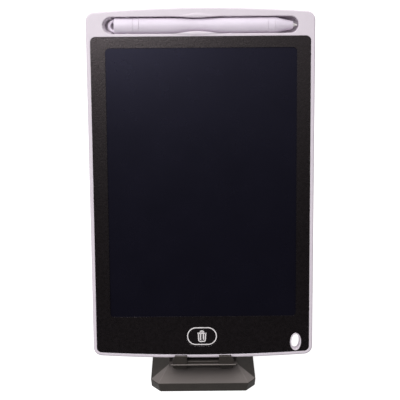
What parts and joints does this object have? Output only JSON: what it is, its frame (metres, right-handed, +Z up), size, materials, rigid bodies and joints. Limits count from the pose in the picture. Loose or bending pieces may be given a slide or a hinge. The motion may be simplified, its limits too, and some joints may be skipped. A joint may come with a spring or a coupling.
{
  "type": "writing tablet with stylus on a folding desk stand",
  "caption": "LCD writing tablet with a stylus in its top slot, an erase button and a lanyard hole, held by the hook tray of a folding desk stand with a weighted base.",
  "frame": {"origin": "centre of the underside of the stand's grip pad, on the surface that it stands on", "axes": "+Z up, +X to the viewer's right, the screen faces -Y and leans back by 18.06 degrees"},
  "size_m": [0.1452, 0.0879, 0.2357],
  "materials": {
    "housing_plastic": "fine satin texture, pale lilac",
    "stylus_plastic": "smooth satin, pale lilac",
    "bezel_film": "black film with a fine sparkling grain",
    "display_layer": "dark navy, low gloss",
    "backing_sheet": "flat black",
    "white_print": "printed line, matt white",
    "stand_plastic": "black with a fine moulded texture",
    "soft_rubber": "matt black, ribbed",
    "zinc_steel": "zinc plated",
    "contact_brass": "nickel-flashed spring brass",
    "circuit_laminate": "green solder mask",
    "flex_film": "amber polyimide",
    "white_nylon": "natural white nylon",
    "red_lead": "red insulation",
    "black_lead": "black insulation"
  },
  "bodies": {
    "stand_base": {"base_shell": "stand_plastic", "base_bottom_plate": "stand_plastic", "base_weight": "zinc_steel", "base_grip_pad": "soft_rubber", "arm_hinge_pin": "zinc_steel", "arm_hinge_nut": "zinc_steel", "arm_washer_left": "white_nylon", "arm_washer_right": "white_nylon", "base_screw_1": "zinc_steel", "base_screw_2": "zinc_steel", "base_screw_3": "zinc_steel", "base_screw_4": "zinc_steel"},
    "stand_arm": {"arm_link": "stand_plastic"},
    "cradle": {"cradle_plate": "stand_plastic", "cradle_pad": "soft_rubber", "hook_tray": "stand_plastic", "tray_pad_left": "soft_rubber", "tray_pad_right": "soft_rubber", "tray_screw_left": "zinc_steel", "tray_screw_right": "zinc_steel", "cradle_hinge_pin": "zinc_steel", "cradle_hinge_nut": "zinc_steel", "cradle_washer_left": "white_nylon", "cradle_washer_right": "white_nylon"},
    "tablet": {"front_frame": "housing_plastic", "rear_cover": "housing_plastic", "bezel_film": "bezel_film", "lcd_panel": "display_layer", "lcd_backing": "backing_sheet", "circuit_board": "circuit_laminate", "flex_tail": "flex_film", "erase_dome_switch": "zinc_steel", "slide_switch_body": "zinc_steel", "coin_cell": "zinc_steel", "battery_contact_positive": "contact_brass", "battery_contact_negative": "contact_brass", "battery_lead_positive": "red_lead", "battery_lead_negative": "black_lead", "housing_screw_1": "zinc_steel", "housing_screw_2": "zinc_steel", "housing_screw_3": "zinc_steel", "housing_screw_4": "zinc_steel"},
    "erase_button": {"erase_button": "bezel_film"},
    "lock_slider": {"lock_slider": "housing_plastic"},
    "battery_door": {"battery_door": "housing_plastic", "battery_door_screw": "zinc_steel"},
    "stylus": {"stylus_end_cap": "stylus_plastic", "stylus_rear_band": "stylus_plastic", "stylus_barrel": "stylus_plastic", "stylus_front_band": "stylus_plastic", "stylus_nose_cone": "stylus_plastic", "stylus_nib": "white_nylon"}
  },
  "joints": [
    {"name": "arm_hinge", "type": "hinge", "parent": "stand_base", "child": "stand_arm", "pos_m": [0, 0.031, 0.016], "axis": [1, 0, 0], "range_deg": [-30, 1]},
    {"name": "cradle_hinge", "type": "hinge", "parent": "stand_arm", "child": "cradle", "pos_m": [0, -0.00019, 0.06266], "axis": [-1, 0, 0], "range_deg": [-3, 30]},
    {"name": "tablet_lift", "type": "slide", "parent": "cradle", "child": "tablet", "axis": [0, 0.31, 0.9507], "range_m": [0, 0.06]},
    {"name": "stylus_lift", "type": "slide", "parent": "tablet", "child": "stylus", "axis": [0, -0.9507, 0.31], "range_m": [0, 0.025]},
    {"name": "erase_press", "type": "slide", "parent": "tablet", "child": "erase_button", "axis": [0, 0.9507, -0.31], "range_m": [0, 0.00045], "stiffness_N_per_m": 2000, "springref_m": -0.0003},
    {"name": "lock_slide", "type": "slide", "parent": "tablet", "child": "lock_slider", "axis": [1, 0, 0], "range_m": [0, 0.003]},
    {"name": "battery_door_lift", "type": "slide", "parent": "tablet", "child": "battery_door", "axis": [0, 0.9507, -0.31], "range_m": [0, 0.012]}
  ]
}
